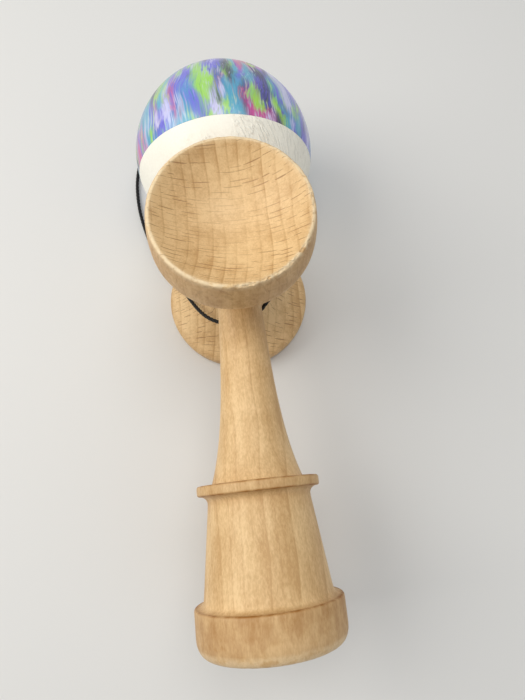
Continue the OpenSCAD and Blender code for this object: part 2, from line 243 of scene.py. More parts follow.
def tint(red, green, blue):
    """Colour from its 0 to 255 values on a screen, as the shaders take it."""
    def light(value):
        share = value / 255
        return share / 12.92 if share <= 0.04045 else ((share + 0.055) / 1.055) ** 2.4

    return (light(red), light(green), light(blue), 1.0)


def colour_prop(name, description, value):
    """Colour that a user can change."""
    return FloatVectorProperty(
        name=name, description=description, default=tint(*value),
        subtype="COLOR", size=4, min=0, max=1)


def length_prop(name, description, value, least, most):
    """Length that a user can change, given in millimetres."""
    return FloatProperty(
        name=name, description=description, default=value * MM, min=least * MM, max=most * MM,
        unit="LENGTH", precision=5)


class KendamaWood(bpy.types.PropertyGroup):
    """Beech of the turned pieces."""

    ring_width: length_prop("Ring width", "Spacing of the growth rings", 3.1, 0.5, 10)
    ray_gap: length_prop("Ray gap", "Spacing of the rays, along the rings", 1.5, 0.4, 5)
    ray_length: length_prop("Ray length", "Length of the rays, across the rings", 5.5, 1, 30)
    ray_height: length_prop("Ray height", "Height of the rays, along the grain", 2.6, 0.5, 10)
    dent_depth: length_prop("Dent depth", "Depth of the dents in the worn edges", 0.95, 0, 1.5)
    pale: colour_prop("Pale wood", "Early wood of each ring", (230, 196, 144))
    deep: colour_prop("Deep wood", "Late wood of each ring", (197, 157, 104))
    ray: colour_prop("Rays", "Thin dark rays across the rings", (146, 101, 56))
    worn: colour_prop("Worn wood", "Bare fibres of the dented edges", (240, 221, 184))
    # Colour of handling dirt and of painted shade in the creases, on the cups' walls and on the
    # base ring; the dents' bruises take it too
    soil: colour_prop("Soil", "Handling dirt in the creases", (152, 98, 30))


class KendamaBall(bpy.types.PropertyGroup):
    """Paint of the ball."""

    dab_width: length_prop("Dab width", "Width of the dabs of paint", 2.4, 0.5, 10)
    dab_length: length_prop("Dab length", "Length of the dabs of paint", 7.0, 1, 30)
    seed: IntProperty(
        name="Seed", description="Changes where the colours fall", default=4, min=0)
    violet: colour_prop("Violet", "Main colour of the dabs", (106, 102, 218))
    lilac: colour_prop("Lilac", "Pale dabs", (208, 208, 246))
    teal: colour_prop("Teal", "Green blue dabs", (78, 168, 196))
    lime: colour_prop("Lime", "Yellow green dabs", (152, 214, 66))
    rose: colour_prop("Rose", "Pink dabs", (204, 78, 150))
    night: colour_prop("Night", "Dark dabs", (26, 36, 70))
    ivory: colour_prop("Ivory", "Band round the mouth of the hole", (252, 250, 238))
    cream: colour_prop("Cream", "Darker tone of the band", (214, 205, 184))


class KendamaString(bpy.types.PropertyGroup):
    """String that ties the ball to the sarado."""

    diameter: length_prop("Diameter", "Diameter of the string", 1.3, 0.8, 2)
    lay: length_prop("Lay", "Length in which its strands go round once", 4.6, 2, 12)
    strands: IntProperty(
        name="Strands", description="Number of twisted strands", default=3, min=2, max=6)
    dye: colour_prop("Dye", "Colour of the string", (13, 12, 13))
    fibre: colour_prop("Fibres", "Paler fibres of the strands", (42, 40, 42))


class Sketch:
    """Shorthand for adding nodes to a tree and wiring them up."""

    def __init__(self, tree):
        self.tree = tree

    def wire(self, value, socket):
        """Links a socket to a node's output, or sets its value."""
        if isinstance(value, bpy.types.NodeSocket):
            self.tree.links.new(value, socket)
        elif value is not None:
            socket.default_value = value

    def add(self, kind, values=(), out=0, **settings):
        """Adds a node, sets it and its inputs, and returns one of its outputs."""
        node = self.tree.nodes.new(kind)
        for key, value in settings.items():
            setattr(node, key, value)
        pairs = values.items() if isinstance(values, dict) else enumerate(values)
        for key, value in pairs:
            self.wire(value, node.inputs[key])
        return node.outputs[out]

    def math(self, operation, *values, clamp=False):
        return self.add("ShaderNodeMath", values, operation=operation, use_clamp=clamp)

    def times(self, first, second):
        return self.math("MULTIPLY", first, second)

    def over(self, first, second):
        return self.math("DIVIDE", first, second)

    def plus(self, first, second, clamp=False):
        return self.math("ADD", first, second, clamp=clamp)

    def minus(self, first, second, clamp=False):
        return self.math("SUBTRACT", first, second, clamp=clamp)

    def vector(self, operation, *values, out=0):
        return self.add("ShaderNodeVectorMath", values, out, operation=operation)

    def scaled(self, vector, factor):
        return self.add("ShaderNodeVectorMath", {0: vector, 3: factor}, operation="SCALE")

    def xyz(self, vector):
        """The three parts of a vector."""
        return self.add("ShaderNodeSeparateXYZ", (vector,)).node.outputs

    def joined(self, x, y, z):
        return self.add("ShaderNodeCombineXYZ", (x, y, z))

    def fade(self, value, low, high, to_low=0.0, to_high=1.0, smooth=True):
        """Value from one range to another, held at its ends."""
        kind = "SMOOTHSTEP" if smooth else "LINEAR"
        values = (value, low, high, to_low, to_high)
        return self.add("ShaderNodeMapRange", values, interpolation_type=kind)

    def noise(self, vector, scale=1.0, detail=2.0, roughness=0.5, out=0):
        values = {"Vector": vector, "Scale": scale, "Detail": detail, "Roughness": roughness}
        return self.add("ShaderNodeTexNoise", values, out)

    def chance(self, vector, out=0):
        """Number, or three as a colour, that differs at random from cell to cell."""
        return self.add("ShaderNodeTexWhiteNoise", (vector,), out)

    def mix(self, share, first, second):
        values = {0: share, 6: first, 7: second}
        return self.add("ShaderNodeMix", values, 2, data_type="RGBA")

    def ramp(self, share, stops):
        """Colour that changes along a list of (place, colour)."""
        result = self.add("ShaderNodeValToRGB", (share,))
        ramp = result.node.color_ramp
        for place, colour in stops[1:-1]:
            ramp.elements.new(place).color = colour
        ramp.elements[0].position, ramp.elements[0].color = stops[0]
        ramp.elements[-1].position, ramp.elements[-1].color = stops[-1]
        return result

    def attribute(self, name):
        """Number that a piece holds under a name, in a material."""
        return self.add("ShaderNodeAttribute", out=2, attribute_name=name)

    def held(self, name, kind="FLOAT"):
        """Value that a mesh holds under a name, in a geometry tree."""
        return self.add("GeometryNodeInputNamedAttribute", (name,), data_type=kind)

    def position(self):
        return self.add("GeometryNodeInputPosition")

    def stored(self, geometry, name, value, kind="FLOAT"):
        """Geometry that holds a value under a name."""
        values = {"Geometry": geometry, "Name": name, "Value": value}
        return self.add("GeometryNodeStoreNamedAttribute", values, data_type=kind)

    def bump(self, height, strength, distance):
        values = {"Strength": strength, "Distance": distance, "Height": height}
        return self.add("ShaderNodeBump", values)

    def finish(self, shader, values):
        """Links or sets the sockets of a shader, by their names."""
        for name, value in values.items():
            self.wire(value, shader.inputs[name])


def new_material(name):
    """Material with its sketch and its shader."""
    material = bpy.data.materials.new(name)
    material.use_nodes = True
    shader = material.node_tree.nodes["Principled BSDF"]
    return material, Sketch(material.node_tree), shader


def growth_rings(s, radius, wood):
    """Tone of the growth rings: pale early wood that deepens to a thin late line."""
    years = s.over(radius, wood.ring_width / MM)
    uneven = s.noise(s.joined(years, 7.3, 1.7), 0.7, 1)
    years = s.plus(years, s.times(uneven, 0.7))
    season = s.math("FRACT", years)
    year_tone = s.chance(s.joined(s.math("FLOOR", years), 3.1, 5.7))
    tones = ((0.0, 0.0), (0.45, 0.1), (0.8, 0.36), (0.9, 0.9), (0.96, 0.8), (1.0, 0.1))
    late = s.ramp(season, [(place, (tone, tone, tone, 1)) for place, tone in tones])
    late = s.times(late, s.fade(year_tone, 0, 1, 0.6, 1.0))
    return s.plus(late, s.fade(year_tone, 0, 1, -0.22, 0.26))


def wood_rays(s, radius, round_way, height, wood):
    """Cover of the rays: thin ribbons, each in a cell of its own that is shifted at random."""
    def cell(place, size, shift=None):
        """Number of the cell at a place, and the place within it."""
        place = s.over(place, size / MM)
        if shift is not None:
            place = s.plus(place, shift)
        return s.math("FLOOR", place), s.math("FRACT", place)

    def humped(share):
        """Value that is highest halfway through a cell."""
        return s.times(share, s.minus(1.0, share))

    lane_id, lane_x = cell(round_way, wood.ray_gap)
    shift = s.times(s.chance(s.joined(lane_id, 11.3, 0.4)), 7.3)
    out_id, out_x = cell(radius, wood.ray_length, shift)
    lift = s.times(s.chance(s.joined(lane_id, out_id, 4.9)), 5.1)
    rise_id, rise_x = cell(height, wood.ray_height, lift)
    draw = s.xyz(s.chance(s.joined(lane_id, out_id, rise_id), 1))
    middle = s.fade(draw[0], 0, 1, 0.22, 0.78, False)
    away = s.math("ABSOLUTE", s.minus(lane_x, middle))
    lens = s.times(s.times(humped(out_x), humped(rise_x)), 16.0)
    lens = s.math("POWER", lens, 0.35)
    half = s.times(lens, s.fade(draw[1], 0, 1, 0.06, 0.16, False))
    ray = s.over(away, s.math("MAXIMUM", half, 0.004))
    ray = s.minus(1.0, ray, clamp=True)
    ray = s.times(ray, s.fade(draw[2], 0.12, 0.75))
    return s.math("MINIMUM", s.times(ray, 1.8), 1.0)


def beech(name, wood, place, turn, reach, rings, rays, streaks, flecks, depth=0.0, spots=0.0):
    """Turned beech. Place and turn set the piece in its log, whose pith is the Z axis.

    Reach is how far the piece lies from the pith, in mm. Rings, rays, streaks, flecks and
    spots of dirt and painted shade are how much of each shows, and depth makes the whole
    piece deeper. The rays cross the growth rings: they are lines in end grain, and short
    dashes on a face along the rings.
    """
    material, s, shader = new_material(name)
    coords = s.add("ShaderNodeTexCoord", out=3)
    angles = [math.radians(a) for a in turn]
    log = s.add("ShaderNodeMapping", (coords, place, angles, (1 / MM,) * 3))
    drift = s.vector("SUBTRACT", s.noise(log, 0.035, 2, out=1), (0.5, 0.5, 0.5))
    log = s.vector("ADD", log, s.vector("MULTIPLY", drift, (3.0, 3.0, 3.0)))
    x, y, z = s.xyz(log)
    radius = s.vector("LENGTH", s.vector("MULTIPLY", log, (1, 1, 0)), out=1)
    round_way = s.times(s.math("ARCTAN2", y, x), reach)
    ring_tone = growth_rings(s, radius, wood)
    ray = wood_rays(s, radius, round_way, z, wood)

    def grain(across, along, detail, roughness=0.5):
        """Noise that is drawn out along the grain."""
        spot = s.vector("MULTIPLY", log, (across, across, along))
        return s.noise(spot, 1.0, detail, roughness)

    # Fibres and flecks along the grain, and slow changes of tone
    fibre = grain(2.3, 0.85, 2, 0.65)
    streak = grain(0.9, 0.05, 2)
    blotch = s.noise(log, 0.085, 3, 0.6)
    mottle = grain(0.3, 0.11, 3, 0.6)
    band = grain(0.24, 0.012, 1)
    rub = s.fade(s.attribute("rub"), 0.15, 0.8)
    plain = s.minus(1.0, s.times(rub, 0.65))
    shown = s.times(s.fade(blotch, 0.34, 0.6, 0.55, 1.0), rings)
    shown = s.times(shown, plain)
    # The outline's mark of dirt and painted shade, under which the rings show less
    soil = s.attribute("soil")
    shown = s.times(shown, s.fade(soil, 0.2, 0.7, 1.0, 0.4))
    tone = s.times(ring_tone, shown)
    tone = s.plus(tone, s.fade(streak, 0.25, 0.75, -0.5 * streaks, streaks))
    tone = s.plus(tone, s.fade(band, 0.3, 0.7, -0.12, 0.2))
    tone = s.plus(tone, s.fade(fibre, 0.25, 0.75, depth - flecks, depth + 0.7 * flecks))
    tone = s.plus(tone, s.fade(blotch, 0.3, 0.7, -0.14, 0.24), clamp=True)
    colour = s.mix(tone, wood.pale[:], wood.deep[:])

    # Creases and marked walls hold dirt and painted shade, which hide the rays, and worn edges
    # show bare dented fibres
    ray = s.times(ray, s.fade(soil, 0.0, 0.4, rays, 0.35 * rays))
    ray = s.times(ray, plain)
    colour = s.mix(ray, colour, wood.ray[:])
    pits = s.fade(s.noise(log, 0.62, 2, 0.6), 0.5, 0.68, 0.0, spots)
    mottle = s.plus(s.fade(mottle, 0.34, 0.66, 0.45, 0.95), pits)
    # Dirt and painted shade in the creases, on the cups' walls and on the base ring, mottled by
    # noise
    crease = s.times(soil, mottle)
    colour = s.mix(s.times(crease, 0.62), colour, wood.soil[:])
    wear = s.attribute("wear")
    scuff = s.times(wear, s.fade(s.noise(log, 0.42, 3, 0.55), 0.3, 0.52))
    colour = s.mix(s.times(scuff, 0.72), colour, wood.worn[:])
    bruise = s.times(wear, s.fade(s.noise(log, 0.8, 2), 0.6, 0.72))
    colour = s.mix(s.times(bruise, 0.3), colour, wood.soil[:])

    relief = s.minus(s.times(fibre, 0.5), s.times(ray, 0.35))
    rough = s.minus(s.fade(fibre, 0.2, 0.8, 0.44, 0.58), s.times(rub, 0.08))
    s.finish(shader, {
        "Base Color": colour, "Roughness": rough, "Specular IOR Level": 0.45,
        "Normal": s.bump(relief, 0.35, 0.12 * MM)})
    return material


def ball_coords(s):
    """Place on the ball: round it as a circle, and along it from pole to pole, in mm."""
    coords = s.add("ShaderNodeTexCoord", out=3)
    out = s.vector("NORMALIZE", s.vector("SUBTRACT", coords, TAMA_MID))
    x, y, z = s.xyz(out)
    ring = s.scaled(s.vector("NORMALIZE", s.joined(x, 0.0, z)), TAMA_R)
    ring_x, _, ring_z = s.xyz(ring)
    along = s.times(s.math("ARCSINE", y), TAMA_R)
    return s.joined(ring_x, ring_z, along)


def streaked_paint(ball):
    """Glossy paint, brushed on in soft dabs of many colours along the ball."""
    material, s, shader = new_material("tama_paint")
    place = s.vector("ADD", ball_coords(s), (0.0, 0.0, 13.7 * ball.seed))
    sway = s.vector("SUBTRACT", s.noise(place, 0.07, 1, out=1), (0.5, 0.5, 0.5))
    place = s.vector("ADD", place, s.vector("MULTIPLY", sway, (5.0, 5.0, 10.0)))
    wide = 0.5 * MM / ball.dab_width
    tall = 0.5 * MM / ball.dab_length
    hair = s.noise(s.vector("MULTIPLY", place, (1.7, 1.7, 0.11)), 1.0, 2, 0.6)

    def dabs(layer, size, least, soft=0.09):
        """Cover of a layer: dabs where noise is over a least value, with hairy ends."""
        spot = s.vector("MULTIPLY", place, (wide * size, wide * size, tall * size))
        spot = s.vector("ADD", spot, (layer * 5.3, layer * 2.9, layer * 7.7))
        cover = s.plus(s.noise(spot, 1.0, 0.6), s.fade(hair, 0.2, 0.8, -0.09, 0.09))
        return s.fade(cover, least - soft, least + soft, 0.0, 0.94)

    colour = s.mix(dabs(1, 0.5, 0.5, 0.14), ball.violet[:], ball.teal[:])
    layers = (
        (0.6, 0.62, ball.lilac), (0.5, 0.585, ball.night), (0.55, 0.605, ball.lime),
        (0.8, 0.62, ball.violet), (0.7, 0.63, ball.rose), (1.0, 0.62, ball.teal),
        (1.0, 0.66, ball.lilac), (1.2, 0.67, ball.lime), (1.0, 0.655, ball.night),
    )
    for number, (size, least, paint) in enumerate(layers, 2):
        colour = s.mix(dabs(number, size, least), colour, paint[:])

    # Brush hairs drag lighter and darker lines through it
    colour = s.mix(s.fade(hair, 0.52, 0.8, 0.0, 0.5), colour, ball.lilac[:])
    colour = s.mix(s.fade(hair, 0.46, 0.22, 0.0, 0.35), colour, ball.night[:])

    s.finish(shader, {
        "Base Color": colour, "Roughness": 0.32, "Coat Weight": 0.5, "Coat Roughness": 0.12,
        "Normal": s.bump(hair, 0.12, 0.1 * MM)})
    return material


def ivory_paint(ball):
    """Thick satin paint of the band, wrinkled most on one side."""
    material, s, shader = new_material("tama_band")
    place = ball_coords(s)
    side, _, along = s.xyz(place)
    slow = s.noise(s.vector("ADD", place, (31.0, 12.0, 5.0)), 0.09, 2)
    thick = s.plus(slow, s.times(side, 0.009))
    lean = s.joined(s.times(along, 0.55), s.times(along, -0.55), 0.0)
    folds = s.vector("MULTIPLY", s.vector("ADD", place, lean), (1.1, 1.1, 0.25))
    folds = s.fade(s.noise(folds, 1.0, 1), 0.46, 0.66)
    folds = s.times(folds, s.fade(thick, 0.44, 0.62, 0.06, 1.0))
    grain = s.noise(place, 1.6, 2)
    wrinkle = s.plus(folds, s.times(grain, 0.35))
    tone = s.plus(s.fade(grain, 0.3, 0.75, 0.0, 0.1), s.fade(slow, 0.3, 0.7, 0.0, 0.12))
    colour = s.mix(tone, ball.ivory[:], ball.cream[:])
    s.finish(shader, {
        "Base Color": colour, "Roughness": s.fade(grain, 0.3, 0.7, 0.38, 0.5),
        "Normal": s.bump(wrinkle, 0.6, 0.35 * MM)})
    return material


def dyed_cord(string):
    """Twisted nylon, with fibres along each strand."""
    material, s, shader = new_material("string")
    across, up, _ = s.xyz(s.add("ShaderNodeAttribute", out=1, attribute_name="side"))
    run = s.over(s.attribute("run"), MM)
    fibre = s.noise(s.joined(across, up, s.times(run, 0.09)), 9.0, 3, 0.6)
    colour = s.mix(s.fade(fibre, 0.35, 0.8, 0.0, 0.5), string.dye[:], string.fibre[:])
    s.finish(shader, {
        "Base Color": colour, "Roughness": s.fade(fibre, 0.2, 0.8, 0.42, 0.62),
        "Specular IOR Level": 0.28, "Normal": s.bump(fibre, 0.4, 0.08 * MM)})
    return material


def bead_plastic():
    """Milky plastic of the bead, with faint swirls from its mould."""
    material, s, shader = new_material("bead")
    coords = s.scaled(s.add("ShaderNodeTexCoord", out=3), 1 / MM)
    swirl = s.noise(coords, 0.5, 3)
    colour = s.mix(s.fade(swirl, 0.3, 0.7), tint(236, 235, 230), tint(216, 214, 207))
    s.finish(shader, {
        "Base Color": colour, "Roughness": s.fade(swirl, 0.3, 0.7, 0.24, 0.36),
        "Normal": s.bump(s.noise(coords, 3.0, 2), 0.08, 0.05 * MM)})
    return material


def arc(middle, radius, start, end, steps=10):
    """Points of a round stretch, from one angle in degrees to another."""
    if not isinstance(radius, tuple):
        radius = (radius, radius)
    angles = [math.radians(start + (end - start) * i / steps) for i in range(steps + 1)]
    return [
        (middle[0] + radius[0] * math.cos(a), middle[1] + radius[1] * math.sin(a))
        for a in angles
    ]


def bezier(a, b, c, d, steps=24):
    """Points of a smooth stretch from a to d that leans towards b and c."""
    points = []
    for i in range(steps + 1):
        t = i / steps
        u = 1 - t
        shares = (u**3, 3 * u * u * t, 3 * u * t * t, t**3)
        points.append(tuple(sum(k * p[n] for k, p in zip(shares, (a, b, c, d))) for n in (0, 1)))
    return points


def bowl(mouth_r, rim, depth, up=1):
    """Points of a cup's hollow, from its mouth to its middle."""
    radius = (mouth_r**2 + depth**2) / (2 * depth)
    mid = rim + up * (radius - depth)
    last = math.degrees(math.asin(mouth_r / radius))
    return [(r, mid - up * h) for h, r in arc((0, 0), radius, last, 0, 16)]


def marked(points, wear=0.0, soil=0.0):
    """Outline points with how worn they are, how much dirt and painted shade they hold, and not
    rubbed smooth.
    """
    return [(r, z, wear, soil, 0.0) for r, z in points]


def rubbed(points, reach):
    """Outline points of a hollow that the ball rubs smooth, most of all in its middle."""
    return [(r, z, 0.0, 0.0, max(0.0, 1 - r / reach)) for r, z in points]


def evenly(points, step, axes=3):
    """Points at a steady spacing along a line. The first values of each are its place."""
    result = [points[0]]
    left = step
    for a, b in zip(points, points[1:]):
        span = math.dist(a[:axes], b[:axes])
        place = left
        while place < span:
            share = place / span
            result.append(tuple(p + (q - p) * share for p, q in zip(a, b)))
            place += step
        left = place - span
    result.append(points[-1])
    return result


def softened(points, passes, step=0.2):
    """Outline with its corners rounded off a little, as sanding does."""
    fine = evenly(points, step, axes=2)
    for _ in range(passes):
        fine = [fine[0]] + [
            tuple((p + 2 * q + r) / 4 for p, q, r in zip(a, b, c))
            for a, b, c in zip(fine, fine[1:], fine[2:])
        ] + [fine[-1]]
    return fine


def thinned(points, bend=5.0, longest=1.1):
    """Outline with points only where it bends, or where they would be far apart."""
    kept = [points[0]]
    for here, ahead in zip(points[1:], points[2:]):
        before = Vector((here[0] - kept[-1][0], here[1] - kept[-1][1]))
        after = Vector((ahead[0] - here[0], ahead[1] - here[1]))
        if before.length < 1e-6 or after.length < 1e-6:
            continue
        turn = math.degrees(before.angle(after))
        if turn > bend or before.length > longest:
            kept.append(here)
    return kept + [points[-1]]


def new_tree(name, inputs):
    """Geometry tree with named inputs, its sketch, and the sockets that feed it."""
    tree = bpy.data.node_groups.new(name, "GeometryNodeTree")
    tree.interface.new_socket("Geometry", in_out="INPUT", socket_type="NodeSocketGeometry")
    for label, kind in inputs:
        tree.interface.new_socket(label, in_out="INPUT", socket_type="NodeSocket" + kind)
    tree.interface.new_socket("Geometry", in_out="OUTPUT", socket_type="NodeSocketGeometry")
    s = Sketch(tree)
    return tree, s, s.add("NodeGroupInput").node.outputs


def finish_tree(s, geometry, material):
    """Ends a tree: smooth faces, real geometry, one material."""
    geometry = s.add("GeometryNodeSetShadeSmooth", (geometry, None, True))
    geometry = s.add("GeometryNodeRealizeInstances", (geometry,))
    geometry = s.add("GeometryNodeSetMaterial", (geometry, None, material))
    s.wire(geometry, s.tree.nodes.new("NodeGroupOutput").inputs[0])


def turning_tree():
    """Tree that turns an outline round the Z axis, and dents its worn edges."""
    tree, s, given = new_tree("turning", [
        ("Sides", "Int"), ("Dent Depth", "Float"), ("Dent Size", "Float"),
        ("Dent Side", "Vector"), ("Wander", "Float"), ("Seed", "Float"),
        ("Material", "Material")])
    outline = given["Geometry"]
    count = s.add("GeometryNodeAttributeDomainSize", (outline,))
    around = s.plus(given["Sides"], 1)
    grid = s.add("GeometryNodeMeshGrid", (1.0, 1.0, count, around))
    across, along, _ = s.xyz(s.position())
    last = s.minus(count, 1)
    step = s.math("ROUND", s.times(s.plus(across, 0.5), last))
    angle = s.times(s.plus(along, 0.5), TURN)

    def from_outline(value, kind):
        values = {"Geometry": outline, "Value": value, "Index": step}
        return s.add("GeometryNodeSampleIndex", values, data_type=kind)

    def mark(name):
        return from_outline(s.held(name), "FLOAT")

    place = s.xyz(from_outline(s.position(), "FLOAT_VECTOR"))
    radius, height = place[0], place[2]
    way = s.joined(s.math("COSINE", angle), s.math("SINE", angle), 0.0)
    waver = s.noise(s.vector("ADD", s.scaled(way, 2.2), (0, 0, 3.3)), 1.0, 3)
    waver = s.times(s.minus(waver, 0.5), given["Wander"])
    height = s.plus(height, s.times(waver, mark("edge")))
    spot = s.vector("ADD", s.scaled(way, radius), s.joined(0.0, 0.0, height))
    turned = grid
    for name in ("wear", "soil", "rub"):
        turned = s.stored(turned, name, mark(name))
    turned = s.stored(turned, "spot", spot, "FLOAT_VECTOR")
    spot = s.held("spot", "FLOAT_VECTOR")
    turned = s.add("GeometryNodeSetPosition", {"Geometry": turned, "Position": spot})
    turned = s.add("GeometryNodeRemoveAttribute", {"Geometry": turned, "Name": "spot"})
    turned = s.add("GeometryNodeMergeByDistance", {"Geometry": turned, "Distance": MERGE})
    turned = s.add("GeometryNodeFlipFaces", (turned,))

    # Dents: soft hollows and small chips, only as deep as the edge is worn
    here = s.position()
    outwards = s.vector("NORMALIZE", s.vector("MULTIPLY", here, (1, 1, 0)))
    here = s.vector("ADD", here, s.joined(given["Seed"], 0.0, 0.0))
    size = s.over(1.0, given["Dent Size"])
    hollow = s.fade(s.noise(here, size, 1), 0.44, 0.64)
    chip = s.fade(s.noise(here, s.times(size, 2.7), 2), 0.52, 0.74)
    dent = s.plus(s.times(hollow, 0.5), s.times(chip, 0.5))
    knocks = s.vector("DOT_PRODUCT", outwards, given["Dent Side"], out=1)
    knocks = s.fade(knocks, -0.1, 0.9, 0.3, 1.0)
    dent = s.times(s.times(dent, knocks), s.held("wear"))
    dent = s.times(dent, given["Dent Depth"])
    inwards = s.scaled(s.add("GeometryNodeInputNormal"), s.times(dent, -1.0))
    turned = s.add("GeometryNodeSetPosition", {"Geometry": turned, "Offset": inwards})
    finish_tree(s, turned, given["Material"])
    return tree


def cord_tree():
    """Tree that lays a twisted cord along a line."""
    tree, s, given = new_tree("cord", [
        ("Diameter", "Float"), ("Lay", "Float"), ("Strands", "Int"), ("Groove", "Float"),
        ("Material", "Material")])
    line = s.add("GeometryNodeMeshToCurve", (given["Geometry"],))
    run = s.add("GeometryNodeSplineParameter", out=1)
    line = s.stored(line, "run", run)
    twist = s.times(s.over(s.held("run"), given["Lay"]), TURN)
    line = s.add("GeometryNodeSetCurveTilt", {"Curve": line, "Tilt": twist})
    values = {"Resolution": CORD_SIDES, "Radius": 1.0}
    outline = s.add("GeometryNodeCurvePrimitiveCircle", values)
    here = s.position()
    across, up, _ = s.xyz(here)
    outline = s.stored(outline, "side", here, "FLOAT_VECTOR")
    angle = s.times(s.math("ARCTAN2", up, across), given["Strands"])
    swell = s.math("ABSOLUTE", s.math("COSINE", s.times(angle, 0.5)))
    dip = s.minus(1.0, s.math("POWER", swell, 0.8))
    swell = s.minus(1.0, s.times(dip, given["Groove"]))
    swell = s.times(swell, s.times(given["Diameter"], 0.5))
    values = {"Geometry": outline, "Position": s.scaled(here, swell)}
    outline = s.add("GeometryNodeSetPosition", values)
    values = {"Curve": line, "Profile Curve": outline, "Fill Caps": True}
    finish_tree(s, s.add("GeometryNodeCurveToMesh", values), given["Material"])
    return tree


def new_object(name, data):
    """Object at the origin, in the scene."""
    obj = bpy.data.objects.new(name, data)
    bpy.context.scene.collection.objects.link(obj)
    return obj


def evaluated_mesh(obj):
    """Plain mesh of an object with its modifiers in it. The object goes away."""
    bpy.context.view_layer.update()
    mesh = bpy.data.meshes.new_from_object(
        obj.evaluated_get(bpy.context.evaluated_depsgraph_get()))
    obj.modifiers.clear()
    bpy.data.objects.remove(obj)
    return mesh


def grown(name, source, tree, values):
    """Plain mesh that a tree makes from a source mesh, with its inputs set."""
    obj = new_object(name + "_source", source)
    modifier = obj.modifiers.new("tree", "NODES")
    modifier.node_group = tree
    for item in tree.interface.items_tree:
        if item.in_out == "INPUT" and item.name in values:
            modifier[item.identifier] = values[item.name]
    mesh = evaluated_mesh(obj)
    mesh.name = name
    return one_material(mesh, values["Material"])


def one_material(mesh, material):
    """Mesh with smooth faces that all have one material."""
    mesh.materials.clear()
    mesh.materials.append(material)
    mesh.polygons.foreach_set("material_index", [0] * len(mesh.polygons))
    mesh.polygons.foreach_set("use_smooth", [True] * len(mesh.polygons))
    return mesh


def line_mesh(points, closed=False):
    """Mesh of a line through points."""
    mesh = bpy.data.meshes.new("line")
    edges = [(i, i + 1) for i in range(len(points) - 1)]
    if closed:
        edges.append((len(points) - 1, 0))
    mesh.from_pydata(points, edges, [])
    return mesh


def tidied(mesh, crease=38, merge=0.0):
    """Mesh with its faces pointing outwards and its sharp corners kept sharp.

    Points closer than merge, in metres, become one, and slivers between them go.
    """
    shape = bmesh.new()
    shape.from_mesh(mesh)
    if merge:
        bmesh.ops.remove_doubles(shape, verts=shape.verts, dist=merge)
        bmesh.ops.dissolve_degenerate(shape, dist=merge, edges=shape.edges)
    bmesh.ops.recalc_face_normals(shape, faces=shape.faces)
    shape.to_mesh(mesh)
    shape.free()
    mesh.set_sharp_from_angle(angle=math.radians(crease))
    return mesh


def turned_mesh(name, outline, place, material, sides=192, dent_depth=0.0, dent_size=2.4,
                dent_side=(0, 0, 0), wander=0.0, seed=0.0, edges=None):
    """Mesh of a turned piece. The outline is in mm, with radius, height and marks."""
    mesh = line_mesh([(p[0] * MM, 0, p[1] * MM) for p in outline])
    marks = {
        "wear": [p[2] for p in outline],
        "soil": [p[3] for p in outline],
        "rub": [p[4] for p in outline],
        "edge": edges or [0.0] * len(outline),
    }
    for mark, values in marks.items():
        mesh.attributes.new(mark, "FLOAT", "POINT").data.foreach_set("value", values)
    tree = bpy.data.node_groups.get("turning") or turning_tree()
    mesh = grown(name, mesh, tree, {
        "Sides": sides, "Dent Depth": dent_depth, "Dent Size": dent_size * MM,
        "Dent Side": dent_side, "Wander": wander * MM, "Seed": seed, "Material": material})
    mesh.transform(place)
    return tidied(mesh)


def aimed(place, way, axis):
    """Matrix that sets a thing at a place, with its axis along a way."""
    return Matrix.Translation(place) @ way.to_track_quat(axis, "Y").to_matrix().to_4x4()


def bored(mesh, holes):
    """Mesh with holes drilled in it. Each is (radius, end radius, start, end), in metres."""
    obj = new_object("bored", mesh)
    tools = []
    for number, (radius, end_radius, start, end) in enumerate(holes):
        way = end - start
        shape = bmesh.new()
        bmesh.ops.create_cone(
            shape, cap_ends=True, segments=DRILL_SIDES, radius1=radius, radius2=end_radius,
            depth=way.length, matrix=aimed((start + end) / 2, way, "Z"))
        tool = bpy.data.meshes.new("drill")
        shape.to_mesh(tool)
        shape.free()
        tools.append(new_object(f"drill_{number}", tool))
        cut = obj.modifiers.new(f"hole_{number}", "BOOLEAN")
        cut.operation = "DIFFERENCE"
        cut.solver = "EXACT"
        cut.object = tools[-1]
    material = mesh.materials[0]
    name = mesh.name
    result = evaluated_mesh(obj)
    for tool in tools:
        bpy.data.objects.remove(tool)
    result.name = name
    return tidied(one_material(result, material), merge=MERGE)


def add_piece(name, mesh, body):
    """Finished piece that stands for the node of its name and rides on a body."""
    obj = new_object(name + "_piece", mesh)
    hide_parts(name)
    if body:
        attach(obj, body)
    return obj


def cord_mesh(name, points, string, material, closed=False):
    """Twisted cord along points in metres."""
    tree = bpy.data.node_groups.get("cord") or cord_tree()
    return tidied(grown(name, line_mesh(points, closed), tree, {
        "Diameter": string.diameter, "Lay": string.lay, "Strands": string.strands,
        "Groove": CORD_GROOVE, "Material": material}), crease=60)


